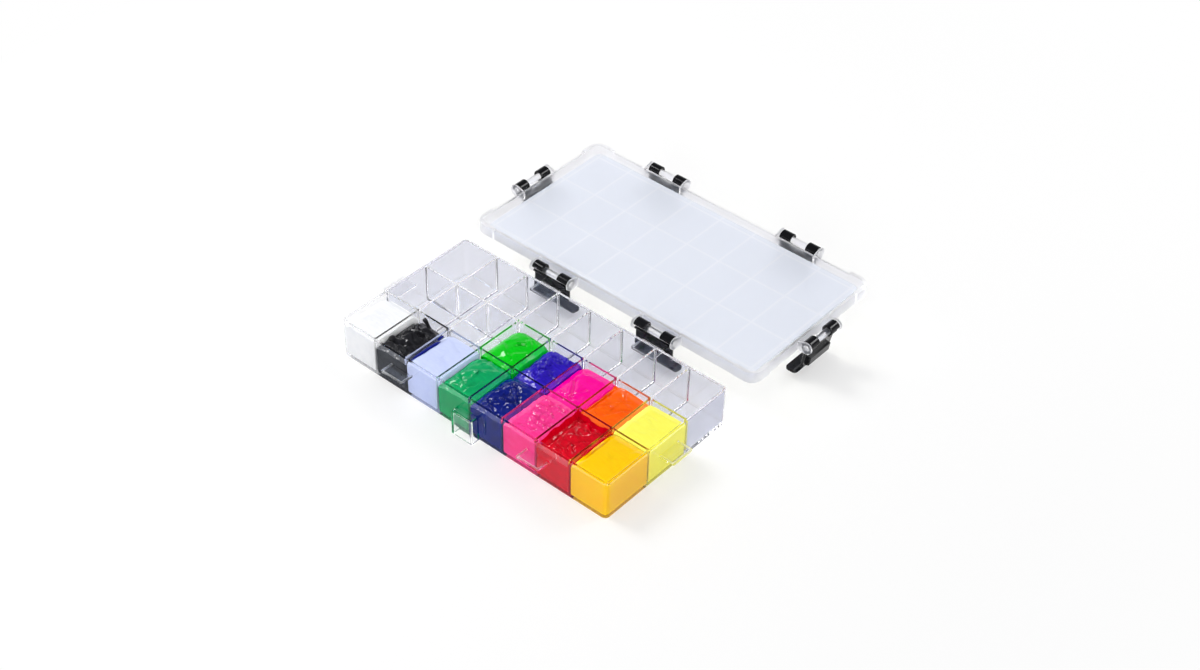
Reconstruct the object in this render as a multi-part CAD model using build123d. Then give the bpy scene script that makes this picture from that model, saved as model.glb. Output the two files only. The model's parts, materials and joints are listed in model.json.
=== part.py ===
from build123d import *
import os

# Paint palette box: a clear moulded tray with three rows of eight wells, thirteen of them
# full of thick paint, and a lid that lies open behind the tray with its inside up. Six black
# snap clips hold the lid. The two at the back stay hooked to the tray and are the hinge. The
# other four swing on pins along the lid's free edges and hook under the tray's ledges.
# Millimetres. X runs along the wells, Y towards the open lid and Z up from the table.

# Tray
tray_length = 245.0
tray_width = 125.4
tray_height = 32.0
wall = 2.0
floor = 2.0
divider = 1.6
column_pitch = 30.0
row_pitch = 39.2
tray_corner = 4.0
well_corner = 1.2

# Ledges that the clips hook under, and the hood at the middle of the front wall
ledge_width = 20.0
ledge_top = 21.0
ledge_thick = 2.0
ledge_rim = 0.8
long_side_ledge = 11.0
short_side_ledge = 12.6
lug_width = 19.0
lug_depth = 7.4
lug_wall = 1.6

# Lid, as it sits on the closed tray
lid_length = 259.0
lid_width = 136.2
lid_edge_height = 28.0
lid_top = 37.5
lid_panel = 2.2
lid_wall = 2.0
lid_corner = 7.0
corner_block_leg = 17.0
corner_block_proud = 1.5
corner_block_drop = 1.0
pad_length = 248.0
pad_width = 129.0
pad_gap = 0.2
pad_corner = 5.0

# Pins, and the clips that turn on them
pin_radius = 2.5
pin_height = 31.0
pin_offset = 7.0
bore_clearance = 0.05
barrel_radius = 4.6
barrel_length = 9.5
clip_width = 33.0
clip_plate = 2.2
clip_gap_angle = 80.0
ear_radius = 4.8
ear_thick = 1.6
ear_gap = 0.4
hook_width = 24.0
hook_reach = 3.6
hook_drop = 7.4
hook_clearance = 0.1
tab_width = 40.0
tab_start = 21.5
tab_bend = 4.5
tab_angle = 80.0
tab_length = 6.0
tab_corner = 3.0
notch_depth = 20.3
notch_radius = 3.0

# Where the clips stand, and how far in each free one hangs
back_clip_x = 48.0
front_clip_x = 63.0
back_pin_y = tray_width / 2 + long_side_ledge + 1.4
side_pin_x = tray_length / 2 + short_side_ledge + 1.4
hang_front = 16.0
hang_right = 11.0
hang_left = 32.0

# Height of each paint above the table, by column and row (row 0 is the front one)
paints = {
    "white": (0, 0, 28.6),
    "black": (1, 0, 26.6),
    "lavender": (2, 0, 28.2),
    "emerald": (3, 0, 27.4),
    "navy": (4, 0, 26.8),
    "rose": (5, 0, 28.0),
    "red": (6, 0, 25.2),
    "golden_yellow": (7, 0, 29.0),
    "bright_green": (3, 1, 28.0),
    "violet": (4, 1, 27.2),
    "magenta": (5, 1, 27.6),
    "orange": (6, 1, 26.8),
    "lemon_yellow": (7, 1, 28.8),
}


def slab(size_x, size_y, low, high, corner=0.0):
    """An upright block with rounded vertical edges, centred on the origin in plan."""
    outline = RectangleRounded(size_x, size_y, corner) if corner else Rectangle(size_x, size_y)
    return Pos(0, 0, low) * extrude(outline, high - low)


def span(low_x, high_x, low_y, high_y, low_z, high_z, corner=0.0):
    """An upright block given by its limits."""
    middle = Pos((low_x + high_x) / 2, (low_y + high_y) / 2, 0)
    return middle * slab(high_x - low_x, high_y - low_y, low_z, high_z, corner)


def column_limits(column):
    """Inner faces, left and right, of one column of wells."""
    left = -tray_length / 2 + wall if column == 0 else (column - 4) * column_pitch + divider / 2
    right = tray_length / 2 - wall if column == 7 else (column - 3) * column_pitch - divider / 2
    return left, right


def row_limits(row):
    """Inner faces, front and back, of one row of wells."""
    front = -tray_width / 2 + wall if row == 0 else (row - 1.5) * row_pitch + divider / 2
    back = tray_width / 2 - wall if row == 2 else (row - 0.5) * row_pitch - divider / 2
    return front, back


def tray_shell():
    """Floor and four outer walls, with a softened foot."""
    outer = slab(tray_length, tray_width, 0, tray_height, tray_corner)
    outer = chamfer(outer.faces().sort_by(Axis.Z)[0].edges(), 0.6)
    inner_length = tray_length - 2 * wall
    inner_width = tray_width - 2 * wall
    return outer - slab(inner_length, inner_width, floor, tray_height + 1, well_corner)


def long_dividers():
    """The two walls that part the rows."""
    reach = tray_length / 2 - wall
    half = divider / 2
    places = [-row_pitch / 2, row_pitch / 2]
    return [span(-reach, reach, y - half, y + half, floor, tray_height) for y in places]


def cross_dividers():
    """The walls between columns, one short wall for each row."""
    walls = []
    for column in range(1, 8):
        x = (column - 4) * column_pitch
        for row in range(3):
            front, back = row_limits(row)
            walls.append(span(x - divider / 2, x + divider / 2, front, back, floor, tray_height))
    return walls


def ledge(depth):
    """A flat catch plate with a low rim round its three free edges. Y is outward."""
    plate_top = ledge_top - ledge_rim
    base = ledge_top - ledge_thick
    plate = span(-ledge_width / 2, ledge_width / 2, 0, depth, base, plate_top)
    rim = span(-ledge_width / 2, ledge_width / 2, 0, depth, plate_top, ledge_top)
    inner = ledge_width / 2 - 1.2
    rim -= span(-inner, inner, -1, depth - 1.2, plate_top, ledge_top)
    whole = plate + rim
    outer_corners = whole.edges().filter_by(Axis.Z).sort_by(Axis.Y)[-2:]
    return fillet(outer_corners, 1.0)


def catch_ledges():
    """Six ledges: two in front, two behind and one at each end."""
    front = Location((0, -tray_width / 2, 0), (0, 0, 180))
    back = Location((0, tray_width / 2, 0))
    left = Location((-tray_length / 2, 0, 0), (0, 0, 90))
    right = Location((tray_length / 2, 0, 0), (0, 0, -90))
    pieces = []
    for side in (-1, 1):
        pieces.append(front * Pos(side * front_clip_x, 0, 0) * ledge(long_side_ledge))
        pieces.append(back * Pos(side * back_clip_x, 0, 0) * ledge(long_side_ledge))
    pieces.append(left * ledge(short_side_ledge))
    pieces.append(right * ledge(short_side_ledge))
    return pieces


def front_lug():
    """A hood on the front wall, open below, with a rounded front edge."""
    half = lug_width / 2
    front = -tray_width / 2 - lug_depth
    back = -tray_width / 2
    hood = span(-half, half, front, back, 0, ledge_top)
    top_front = hood.edges().filter_by(Axis.X).sort_by(Axis.Z)[-2:].sort_by(Axis.Y)[0]
    hood = fillet(top_front, 2.0)
    inner_top = ledge_top - 2.0
    hollow = span(-half + lug_wall, half - lug_wall, front + lug_wall, back, -1, inner_top)
    return hood - hollow


def paint(column, row, top):
    """Thick paint that fills its well to the walls, with a low rounded crown."""
    left, right = column_limits(column)
    front, back = row_limits(row)
    gap = 0.1
    body = span(left + gap, right - gap, front + gap, back - gap, floor, top - 2.4, well_corner)
    shoulder = body.faces().sort_by(Axis.Z)[-1]
    crown_outline = Pos(0, 0, top) * RectangleRounded(right - left - 9, back - front - 11, 5)
    crown_outline = Pos((left + right) / 2, (front + back) / 2, 0) * crown_outline
    return body + loft([shoulder, crown_outline.faces()[0]])


def lid_closed():
    """Panel, skirt and the four raised corner blocks, in the closed place."""
    block = slab(lid_length, lid_width, lid_edge_height, lid_top, lid_corner)
    block = fillet(block.faces().sort_by(Axis.Z)[-1].edges(), 1.2)
    proud = 2 * corner_block_proud
    low = lid_edge_height - corner_block_drop
    high = lid_top - 1.4
    guard = slab(lid_length + proud, lid_width + proud, low, high, lid_corner + 3)
    leg = corner_block_leg
    keep_x = slab(lid_length + 2 * proud, lid_width - 2 * leg, low - 1, high + 1)
    keep_y = slab(lid_length - 2 * leg, lid_width + 2 * proud, low - 1, high + 1)
    guard = guard - keep_x - keep_y
    hollow_length = lid_length - 2 * lid_wall
    hollow_width = lid_width - 2 * lid_wall
    hollow = slab(hollow_length, hollow_width, low - 1, lid_top - lid_panel, lid_corner - lid_wall)
    return block + guard - hollow


def pad_closed():
    """Soft sealing pad that lies on the rim and dividers when the lid is shut."""
    low = tray_height + pad_gap
    return slab(pad_length, pad_width, low, lid_top - lid_panel, pad_corner)


def bracket():
    """Two ears and the pin between them. X along the pin, Y outward, Z up, pin at the origin."""
    skirt_low = lid_edge_height - pin_height + 0.4
    skirt_high = lid_top - pin_height - 1.6
    root = Pos(-pin_offset + 0.5, (skirt_low + skirt_high) / 2) * Rectangle(1.0, skirt_high - skirt_low)
    outline = make_hull(Circle(ear_radius).edges() + root.edges())
    inner = clip_width / 2 + ear_gap
    ear = Plane.YZ * extrude(outline, ear_thick)
    pin = Plane.YZ * Pos(0, 0, -inner) * extrude(Circle(pin_radius), 2 * inner)
    return pin + Pos(inner, 0, 0) * ear + Pos(-inner - ear_thick, 0, 0) * ear


def strap_face():
    """Side view of the plate: straight down, then a tight bend into the flat finger tab."""
    half = clip_plate / 2
    centre = (tab_bend, -tab_start)
    along = Vector(1, 0).rotate(Axis.Z, tab_angle - 90) * tab_length
    near_arc = CenterArc(centre, tab_bend - half, 180, tab_angle)
    far_arc = CenterArc(centre, tab_bend + half, 180, tab_angle)
    near_tip = near_arc @ 1 + along
    far_tip = far_arc @ 1 + along
    sides = Polyline(near_arc @ 0, (half, -5.2), (-half, -5.2), far_arc @ 0)
    tab = Polyline(far_arc @ 1, far_tip, near_tip, near_arc @ 1)
    return make_face(sides.edges() + far_arc.edges() + tab.edges() + near_arc.edges())


def hook_face():
    """Side view of the bar that catches under a ledge, with a level top and a rounded foot."""
    half = clip_plate / 2
    top = -(pin_height - ledge_top + ledge_thick) - hook_clearance
    foot = top - hook_drop
    corners = [(0, top), (-hook_reach, top), (-hook_reach - 0.3, foot), (-half, foot - 2), (0, foot - 2)]
    bar = make_face(Polyline(*corners, corners[0]))
    outer = bar.vertices().sort_by(Axis.X)[:2].sort_by(Axis.Y)
    bar = fillet(outer[0], 1.6)
    return bar


def side_cut():
    """What is taken off one side of the strap to leave a narrow plate, a notch and a wide tab."""
    plate_side = Pos(clip_width / 2 + 5, -notch_depth / 2) * Rectangle(10, notch_depth)
    neck = Pos(clip_width / 2 + 5.7, -notch_depth) * Rectangle(10, 2 * notch_radius)
    notch = Pos(clip_width / 2 + 0.7, -notch_depth) * Circle(notch_radius)
    return Plane.XZ * extrude(plate_side + neck + notch, 12, both=True)


def barrel_face():
    """End view of a barrel: a ring with its root on the plate, open on the side of the lid."""
    bore = pin_radius + bore_clearance
    ring = Circle(barrel_radius) - Circle(bore)
    gap_low = 195 - clip_gap_angle / 2
    gap_high = 195 + clip_gap_angle / 2
    reach = 2 * barrel_radius
    low_edge = Vector(reach, 0).rotate(Axis.Z, gap_low)
    high_edge = Vector(reach, 0).rotate(Axis.Z, gap_high)
    wedge = make_face(Polyline((0, 0), low_edge, high_edge, (0, 0)))
    root = Pos(0, -4.9) * Rectangle(clip_plate, 2.4)
    return (ring - wedge) + (root - Circle(bore + 0.8))


def clip():
    """One snap clip as it sits when hooked, in the same place and axes as its bracket."""
    strap = Plane.YZ * Pos(0, 0, -tab_width / 2) * extrude(strap_face(), tab_width)
    cut = side_cut()
    strap = strap - cut - mirror(cut, Plane.YZ)
    tip_corners = [edge for edge in strap.edges() if abs(edge.length - clip_plate) < 0.01]
    strap = fillet(ShapeList(tip_corners).sort_by(Axis.Y)[-2:], tab_corner)
    hook = Plane.YZ * Pos(0, 0, -hook_width / 2) * extrude(hook_face(), hook_width)
    barrel = Plane.YZ * extrude(barrel_face(), barrel_length)
    inner_end = clip_width / 2 - barrel_length
    return strap + hook + Pos(inner_end, 0, 0) * barrel + Pos(-clip_width / 2, 0, 0) * barrel


def save(name, solids):
    """One file for each sub-part, with its separate solids side by side."""
    solids = solids if isinstance(solids, list) else [solids]
    loose = [solid for piece in solids for solid in piece.solids()]
    shape = loose[0] if len(loose) == 1 else Compound(children=loose)
    export_step(shape, os.path.join("parts", name + ".step"))


os.makedirs("parts", exist_ok=True)

save("tray_shell", tray_shell())
save("long_dividers", long_dividers())
save("cross_dividers", cross_dividers())
save("catch_ledges", catch_ledges())
save("front_lug", front_lug())
for colour, (column, row, top) in paints.items():
    save("paint_" + colour, paint(column, row, top))

# The lid turns half a turn about the back pins to lie open
hinge = Pos(0, back_pin_y, pin_height)
opened = hinge * Rot(180, 0, 0) * hinge.inverse()
save("lid_shell", opened * lid_closed())
save("sealing_pad", opened * pad_closed())

# Each clip's place on the closed box, with Y outward
front = Location((0, -back_pin_y, pin_height), (0, 0, 180))
stations = {
    "back_left": Pos(-back_clip_x, back_pin_y, pin_height),
    "back_right": Pos(back_clip_x, back_pin_y, pin_height),
    "front_left": front * Pos(front_clip_x, 0, 0),
    "front_right": front * Pos(-front_clip_x, 0, 0),
    "left": Location((-side_pin_x, 0, pin_height), (0, 0, 90)),
    "right": Location((side_pin_x, 0, pin_height), (0, 0, -90)),
}
hang = {"front_left": hang_front, "front_right": hang_front, "left": hang_left, "right": hang_right}
one_bracket = bracket()
one_clip = clip()
for name, place in stations.items():
    save(name + "_bracket", opened * place * one_bracket)
    if name in hang:
        swung = opened * place * Rot(180 + hang[name], 0, 0)
    else:
        swung = place
    save(name + "_clip", swung * one_clip)
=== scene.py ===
# %% [markdown]
# A paint palette box, dressed for the camera. The imported model gives every size and place. Its
# clear mouldings were split for the physics, so here they become whole mouldings again, with the
# small rounds that catch the light. The first cell loads the frame and the imported model, whose
# parts can give their boxes.

import json
import math
import random

import bpy
from mathutils import Matrix, Vector, noise


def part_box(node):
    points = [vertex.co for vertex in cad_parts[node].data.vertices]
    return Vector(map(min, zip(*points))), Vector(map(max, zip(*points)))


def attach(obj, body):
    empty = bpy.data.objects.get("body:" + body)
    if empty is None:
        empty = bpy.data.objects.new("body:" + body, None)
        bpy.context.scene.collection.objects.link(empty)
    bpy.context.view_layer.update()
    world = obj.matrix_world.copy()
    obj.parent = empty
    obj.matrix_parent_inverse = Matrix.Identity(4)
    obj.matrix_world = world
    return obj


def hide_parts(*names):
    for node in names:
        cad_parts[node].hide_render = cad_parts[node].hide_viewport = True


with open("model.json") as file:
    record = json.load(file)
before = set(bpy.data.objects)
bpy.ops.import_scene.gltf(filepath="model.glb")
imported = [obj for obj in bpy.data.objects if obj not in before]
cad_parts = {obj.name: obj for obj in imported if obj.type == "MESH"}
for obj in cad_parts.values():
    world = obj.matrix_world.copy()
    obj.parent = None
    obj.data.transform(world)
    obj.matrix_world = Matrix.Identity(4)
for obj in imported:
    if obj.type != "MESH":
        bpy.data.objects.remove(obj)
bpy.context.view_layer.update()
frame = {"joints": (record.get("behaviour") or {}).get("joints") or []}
MM = 0.001

# %% [markdown]
# The camera comes first, because everything is judged through it. Its place was worked out from
# the tray's eight corners, the lid's four and the clips' pins: it stands in front and to the
# right, looks down about forty degrees and is turned a little about its own axis. Light has to
# cross many clear faces before it reaches the camera, so it may bounce more often than usual.

# %% Camera
VIEW_AZIMUTH, VIEW_ELEVATION, VIEW_ROLL = 39.86, 40.39, 1.61
VIEW_DISTANCE = 1.4124
VIEW_TARGET = Vector((-0.0018, 0.0751, 0.0))
LENS, SENSOR = 58.85, 36.0
ALL_BOUNCES, CLEAR_BOUNCES = 28, 20


def camera_axes(azimuth, elevation, roll):
    """The camera's right, up and backward directions."""
    a, e, r = (math.radians(v) for v in (azimuth, elevation, roll))
    back = Vector((math.sin(a) * math.cos(e), -math.cos(a) * math.cos(e), math.sin(e)))
    right = Vector((math.cos(a), math.sin(a), 0.0))
    up = back.cross(right)
    return right * math.cos(r) + up * math.sin(r), up * math.cos(r) - right * math.sin(r), back


scene = bpy.context.scene
right, up, back = camera_axes(VIEW_AZIMUTH, VIEW_ELEVATION, VIEW_ROLL)
camera_data = bpy.data.cameras.new("view")
camera_data.lens = LENS
camera_data.sensor_width = SENSOR
camera_data.clip_start, camera_data.clip_end = 0.05, 20.0
camera = bpy.data.objects.new("view", camera_data)
scene.collection.objects.link(camera)
turned = Matrix((right, up, back)).transposed().to_4x4()
camera.matrix_world = Matrix.Translation(VIEW_TARGET + back * VIEW_DISTANCE) @ turned
scene.camera = camera
scene.view_settings.view_transform = "Standard"
scene.cycles.max_bounces = ALL_BOUNCES
scene.cycles.glossy_bounces = scene.cycles.transmission_bounces = CLEAR_BOUNCES
print("camera at", [round(v, 3) for v in camera.location])

# %% [markdown]
# Materials and the world are node trees. They could be built in the shader editor, but a script
# can be read and run again, so small helpers add a node with its sockets set by name, do a sum,
# split a coordinate, mix two shaders and end a tree.

# %% Helpers for node trees


def new_tree(thing):
    """Turns nodes on for a material or world and empties the tree."""
    thing.use_nodes = True
    thing.node_tree.nodes.clear()
    return thing.node_tree


def add(tree, kind, **values):
    """A node, with sockets or settings given by name."""
    node = tree.nodes.new(kind)
    for key, value in values.items():
        label = key.replace("_", " ").lower()
        socket = next((s for s in node.inputs if s.name.lower() == label), None)
        if socket is not None:
            socket.default_value = value
        else:
            setattr(node, key, value)
    return node


def worked_out(tree, operation, *values):
    """The result of a Math node over numbers and sockets."""
    node = add(tree, "ShaderNodeMath", operation=operation)
    for socket, value in zip(node.inputs, values):
        if isinstance(value, (int, float)):
            socket.default_value = value
        else:
            tree.links.new(value, socket)
    return node.outputs[0]


def mixed(tree, mask, first, second):
    """A shader that goes from the first to the second by a mask."""
    node = add(tree, "ShaderNodeMixShader")
    for source, socket in zip((mask, first.outputs[0], second.outputs[0]), node.inputs):
        tree.links.new(source, socket)
    return node


def put_out(tree, shader, kind="ShaderNodeOutputMaterial"):
    """Ends a tree with its output."""
    tree.links.new(shader.outputs[0], add(tree, kind).inputs[0])


def apart(tree, output="Object"):
    """A texture coordinate split into X, Y and Z."""
    place = add(tree, "ShaderNodeTexCoord")
    parts = add(tree, "ShaderNodeSeparateXYZ")
    tree.links.new(place.outputs[output], parts.inputs[0])
    return parts.outputs


# %% [markdown]
# Light. The photograph is a bright studio picture with white all round. The camera sees that white,
# straight or through clear plastic. Light that has bounced off a matt face meets a plainer fill
# instead, because that white would otherwise flood the floor of the wells. Outer faces mirror a
# room that is white at the horizon and dim overhead, which draws the fine dark and bright lines
# along the rims. Mirror images inside the plastic keep to the fill.

# %% World
WORLD_FILL = 0.56
FILL_COLOUR = (0.96, 0.97, 1.0, 1.0)
WHITE = (1.0, 1.0, 1.0, 1.0)
ROOM = ((0.1, WHITE), (0.35, (0.30, 0.31, 0.34, 1.0)), (0.8, (0.14, 0.145, 0.16, 1.0)))


def seen_by_camera(tree, path):
    """Marks what the camera sees, straight or through clear plastic, but no light that bounced."""
    direct = worked_out(tree, "LESS_THAN", path.outputs["Diffuse Depth"], 0.5)
    through = worked_out(tree, "MULTIPLY", path.outputs["Is Transmission Ray"], direct)
    return worked_out(tree, "MAXIMUM", path.outputs["Is Camera Ray"], through)


world = bpy.data.worlds.new("studio")
scene.world = world
tree = new_tree(world)
path = add(tree, "ShaderNodeLightPath")
ramp = add(tree, "ShaderNodeValToRGB")
steps = ramp.color_ramp.elements
steps[0].position, steps[0].color = ROOM[0]
steps[1].position, steps[1].color = ROOM[2]
steps.new(ROOM[1][0]).color = ROOM[1][1]
tree.links.new(apart(tree, "Generated")["Z"], ramp.inputs[0])
fill = add(tree, "ShaderNodeBackground", color=FILL_COLOUR, strength=WORLD_FILL)
room = add(tree, "ShaderNodeBackground", strength=1.0)
tree.links.new(ramp.outputs[0], room.inputs[0])
white = add(tree, "ShaderNodeBackground", color=WHITE, strength=1.0)
outside = worked_out(tree, "LESS_THAN", path.outputs["Transmission Depth"], 0.5)
mirrored = worked_out(tree, "MULTIPLY", path.outputs["Is Glossy Ray"], outside)
for_pieces = mixed(tree, mirrored, fill, room)
for_camera = mixed(tree, seen_by_camera(tree, path), for_pieces, white)
put_out(tree, for_camera, "ShaderNodeOutputWorld")
print("world", len(tree.nodes), "nodes")

# %% [markdown]
# Three soft boxes stand round the table: the main one high on the left, a small one behind on the
# right, and a low wide one in front, which lights the faces of the filled wells.

# %% Lamps
LAMPS = {
    "key_light": ((-1.05, -0.15, 1.15), (0.5, 0.5), 11.0),
    "side_light": ((0.55, 0.95, 0.9), (0.35, 0.35), 3.4),
    "front_light": ((0.85, -1.25, 0.55), (0.8, 0.5), 7.0),
}
TABLE_MIDDLE = Vector((0.0, 0.07, 0.02))

for name, (place, size, power) in LAMPS.items():
    data = bpy.data.lights.new(name, "AREA")
    data.shape = "RECTANGLE"
    data.size, data.size_y = size
    data.energy = power
    lamp = bpy.data.objects.new(name, data)
    lamp.location = place
    lamp.rotation_euler = (TABLE_MIDDLE - Vector(place)).to_track_quat("-Z", "Y").to_euler()
    scene.collection.objects.link(lamp)

# %% [markdown]
# The floor is a plain pale sheet. It lies a fifth of a millimetre under the tray, because light
# slips between two faces that share one plane, and the clear wells then show no floor. Part of it
# glows, so that it stays white to the camera while the rest still takes the soft shadow that seats
# the box. Far from the box it goes over to plain white, for the camera alone.

# %% Floor
FLOOR_HALF, FLOOR_GAP = 3, -0.0002
FLOOR_GLOW = 0.45
FLOOR_MIDDLE, FLOOR_FADE = (0.0, 0.07, 0.0), (0.34, 0.62)
FLOOR_COLOUR = (0.97, 0.965, 0.95, 1.0)


def ranged(tree, value, low, high, least=0.0, most=1.0):
    """A value mapped from low and high to least and most."""
    limits = dict(from_min=low, from_max=high, to_min=least, to_max=most)
    node = add(tree, "ShaderNodeMapRange", **limits)
    tree.links.new(value, node.inputs["Value"])
    return node.outputs[0]


floor_mesh = bpy.data.meshes.new("floor")
signs = ((-1, -1), (1, -1), (1, 1), (-1, 1))
corners = [(x * FLOOR_HALF, y * FLOOR_HALF, FLOOR_GAP) for x, y in signs]
floor_mesh.from_pydata(corners, [], [(0, 1, 2, 3)])
floor = bpy.data.objects.new("floor", floor_mesh)
scene.collection.objects.link(floor)
material = bpy.data.materials.new("pale_floor")
tree = new_tree(material)
sheet = add(
    tree, "ShaderNodeBsdfPrincipled",
    base_color=FLOOR_COLOUR, roughness=0.9, specular_ior_level=0.1,
)
glow = add(tree, "ShaderNodeEmission", color=WHITE, strength=1.0)
place = add(tree, "ShaderNodeTexCoord")
away = add(tree, "ShaderNodeVectorMath", operation="DISTANCE")
away.inputs[1].default_value = FLOOR_MIDDLE
tree.links.new(place.outputs["Object"], away.inputs[0])
fade = ranged(tree, away.outputs["Value"], *FLOOR_FADE, 0.0, 1.0 - FLOOR_GLOW)
to_camera = seen_by_camera(tree, add(tree, "ShaderNodeLightPath"))
share = worked_out(tree, "MULTIPLY_ADD", fade, to_camera, FLOOR_GLOW)
put_out(tree, mixed(tree, share, sheet, glow))
floor_mesh.materials.append(material)
print("floor", 2 * FLOOR_HALF, "m wide")

# %% [markdown]
# Mesh helpers. A moulding could be a cube with bevels, but its rounds differ from edge to edge. So
# each one is a skin drawn over a stack of loops: a loop is a ring of points, the next loop has as
# many, and quads join them. Rounded rectangles make the wells, the walls and the lid.

# %% Skins and mouldings


def rounded_rectangle(half_x, half_y, radius, steps=6):
    """Points of a rounded rectangle about the origin, counter-clockwise."""
    points = []
    corners = ((1, 1, 0), (-1, 1, 90), (-1, -1, 180), (1, -1, 270))
    for side_x, side_y, start in corners:
        for step in range(steps + 1):
            angle = math.radians(start + 90 * step / steps)
            x = side_x * (half_x - radius) + radius * math.cos(angle)
            y = side_y * (half_y - radius) + radius * math.sin(angle)
            points.append((x, y))
    return points


def new_object(name, vertices, faces):
    """A linked mesh object from points in millimetres."""
    mesh = bpy.data.meshes.new(name)
    mesh.from_pydata([tuple(v * MM for v in p) for p in vertices], [], faces)
    mesh.update()
    thing = bpy.data.objects.new(name, mesh)
    scene.collection.objects.link(thing)
    return thing


def skin(name, loops):
    """A closed skin over a stack of loops with equal counts, capped at both ends."""
    count = len(loops[0])
    vertices = [point for loop in loops for point in loop]
    faces = []
    for level in range(len(loops) - 1):
        low, high = level * count, (level + 1) * count
        for i in range(count):
            j = (i + 1) % count
            faces.append((low + i, low + j, high + j, high + i))
    faces.append(tuple(range(count - 1, -1, -1)))
    last = (len(loops) - 1) * count
    faces.append(tuple(last + i for i in range(count)))
    return new_object(name, vertices, faces)


def moulding(name, half_x, half_y, radius, profile, middle=(0.0, 0.0), steps=6):
    """A rounded box: profile lists (inset, height) from the bottom up."""
    loops = []
    for inset, z in profile:
        corner = max(radius - inset, 0.15)
        ring = rounded_rectangle(half_x - inset, half_y - inset, corner, steps)
        loops.append([(x + middle[0], y + middle[1], z) for x, y in ring])
    return skin(name, loops)


# %% [markdown]
# Cutting and joining. Pockets are cut out and brackets and barrels are joined with exact booleans,
# because each real piece is one moulding without seams. A boolean is applied at once and its tool
# is used up. Pieces are moved by their mesh, so that every object stays at the origin.

# %% Booleans and moves


def cut_or_join(target, tool, operation):
    """An exact boolean, applied. The tool is used up."""
    modifier = target.modifiers.new(operation.lower(), "BOOLEAN")
    modifier.object = tool
    modifier.operation = operation
    modifier.solver = "EXACT"
    baked(target)
    bpy.data.objects.remove(tool)


def joined(name, things):
    """Several objects as one mesh with separate shells."""
    vertices, faces = [], []
    for thing in things:
        start = len(vertices)
        place = thing.matrix_world
        vertices += [tuple((place @ v.co) / MM) for v in thing.data.vertices]
        faces += [tuple(start + i for i in p.vertices) for p in thing.data.polygons]
        bpy.data.objects.remove(thing)
    return new_object(name, vertices, faces)


def move(thing, matrix):
    """Moves the mesh itself, so that the object stays at the origin."""
    thing.data.transform(matrix)
    thing.data.update()


def baked(thing):
    """The mesh as its modifiers leave it."""
    seen = thing.evaluated_get(bpy.context.evaluated_depsgraph_get())
    made = bpy.data.meshes.new_from_object(seen)
    thing.modifiers.clear()
    thing.data = made


# %% [markdown]
# Every piece is finished in the same way. Flat faces with small rounds look dented under plain
# smooth shading, so the normals are weighted towards the large faces. Then the piece gets its name
# and material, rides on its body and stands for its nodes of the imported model.

# %% Finishing a piece


def soften(thing, angle=35.0):
    """Smooth shading that keeps large faces flat and edges sharper than the angle."""
    thing.data.polygons.foreach_set("use_smooth", [True] * len(thing.data.polygons))
    thing.data.set_sharp_from_angle(angle=math.radians(angle))
    weighting = thing.modifiers.new("weighting", "WEIGHTED_NORMAL")
    weighting.keep_sharp = True
    weighting.weight = 95
    baked(thing)


def finish_piece(thing, name, body, slot, material, *nodes, angle=35.0):
    """Names, shades, paints and seats a piece, and lets it stand for its CAD nodes."""
    thing.name = name
    thing.data.name = name
    soften(thing, angle)
    thing.data.materials.clear()
    thing.data.materials.append(material)
    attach(thing, body)
    if nodes:
        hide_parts(*nodes)
    print(name, len(thing.data.polygons), "faces")
    return thing


# %% [markdown]
# Finishes. Mouldings share one effect, the faint flow marks and handling haze of polished plastic,
# so it is a node group with a scale, a strength and a base roughness. It gives a mask, a roughness
# and a height, and each material keeps its own shader.

# %% Moulded plastic effect
RUB_STRETCH, RUB_TURN, RUB_SCALE = (1.0, 6.0, 1.0), (0.2, 0.3, 0.7), 900.0
SCUFFED, HANDLED = (0.58, 0.75), (0.42, 0.70)


def new_group(name, inputs, outputs):
    """A node group with named inputs, which have default values, and named number outputs."""
    group = bpy.data.node_groups.new(name, "ShaderNodeTree")
    for label, value in inputs.items():
        kind = "NodeSocketVector" if isinstance(value, tuple) else "NodeSocketFloat"
        socket = group.interface.new_socket(name=label, in_out="INPUT", socket_type=kind)
        socket.default_value = value
    for label in outputs:
        group.interface.new_socket(name=label, in_out="OUTPUT", socket_type="NodeSocketFloat")
    return group


def closed(group, **outputs):
    """Ends a node group with a socket for each of its outputs."""
    end = add(group, "NodeGroupOutput")
    for label, socket in outputs.items():
        group.links.new(socket, end.inputs[label])
    return group


def placed(tree, group, **values):
    """A node group placed in a tree with its own values."""
    node = add(tree, "ShaderNodeGroup")
    node.node_tree = group
    for name, value in values.items():
        node.inputs[name].default_value = value
    return node


def textured(tree, vector, **values):
    """A noise texture over a vector."""
    node = add(tree, "ShaderNodeTexNoise", **values)
    tree.links.new(vector, node.inputs["Vector"])
    return node


def moulded_surface_group():
    """Flow marks and handling haze: gives Mask, Roughness and Height."""
    inputs = dict(Scale=60.0, Roughness=0.1, Haze=0.1)
    group = new_group("moulded_surface", inputs, ("Mask", "Roughness", "Height"))
    start = add(group, "NodeGroupInput").outputs
    place = add(group, "ShaderNodeTexCoord").outputs["Object"]
    flow = textured(group, place, detail=3.0, distortion=0.8)
    group.links.new(start["Scale"], flow.inputs["Scale"])
    stretch = add(group, "ShaderNodeMapping", scale=RUB_STRETCH, rotation=RUB_TURN)
    group.links.new(place, stretch.inputs["Vector"])
    rub = textured(group, stretch.outputs[0], scale=RUB_SCALE, detail=2.0)
    scuff = ranged(group, rub.outputs[0], *SCUFFED)
    patch = ranged(group, flow.outputs[0], *HANDLED)
    mask = worked_out(group, "MULTIPLY", scuff, patch)
    haze = worked_out(group, "MULTIPLY", mask, start["Haze"])
    rough = worked_out(group, "ADD", start["Roughness"], haze)
    return closed(group, Mask=mask, Roughness=rough, Height=flow.outputs[0])


moulded_surface = moulded_surface_group()


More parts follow.
